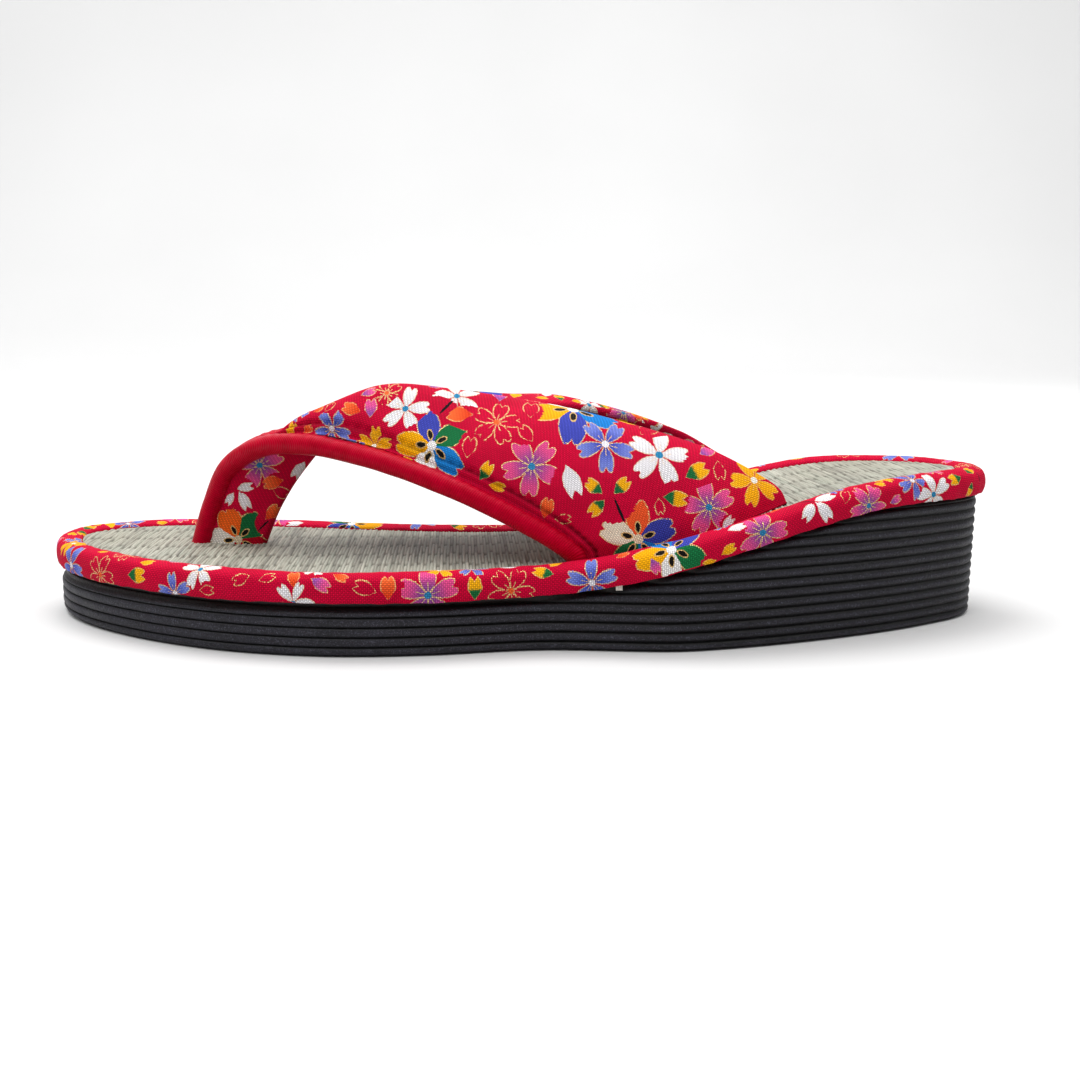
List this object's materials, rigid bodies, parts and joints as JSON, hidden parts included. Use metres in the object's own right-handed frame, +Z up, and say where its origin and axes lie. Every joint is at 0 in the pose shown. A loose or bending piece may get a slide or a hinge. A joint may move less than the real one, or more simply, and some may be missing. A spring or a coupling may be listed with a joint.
{
  "type": "zori sandal",
  "caption": "Left zori sandal: dark ribbed foam wedge, woven rush footbed, and a padded V strap and edge roll of printed cotton with satin piping.",
  "frame": {"origin": "under the middle of the sandal, on the ground", "axes": "toe towards -X, heel towards +X, little-toe side towards -Y, big-toe side towards +Y, +Z up"},
  "size_m": [0.2452, 0.0867, 0.06],
  "materials": {
    "foam": "matte moulded foam",
    "board": "matte",
    "rush": "woven rush, satin",
    "printed_cotton": "plain weave, printed",
    "satin": "satin"
  },
  "bodies": {
    "root": {"outsole_foam": "foam", "footbed_board": "board", "rush_mat": "rush", "edge_binding": "printed_cotton", "strap": "printed_cotton", "piping_lateral": "satin", "piping_medial": "satin"}
  },
  "joints": []
}
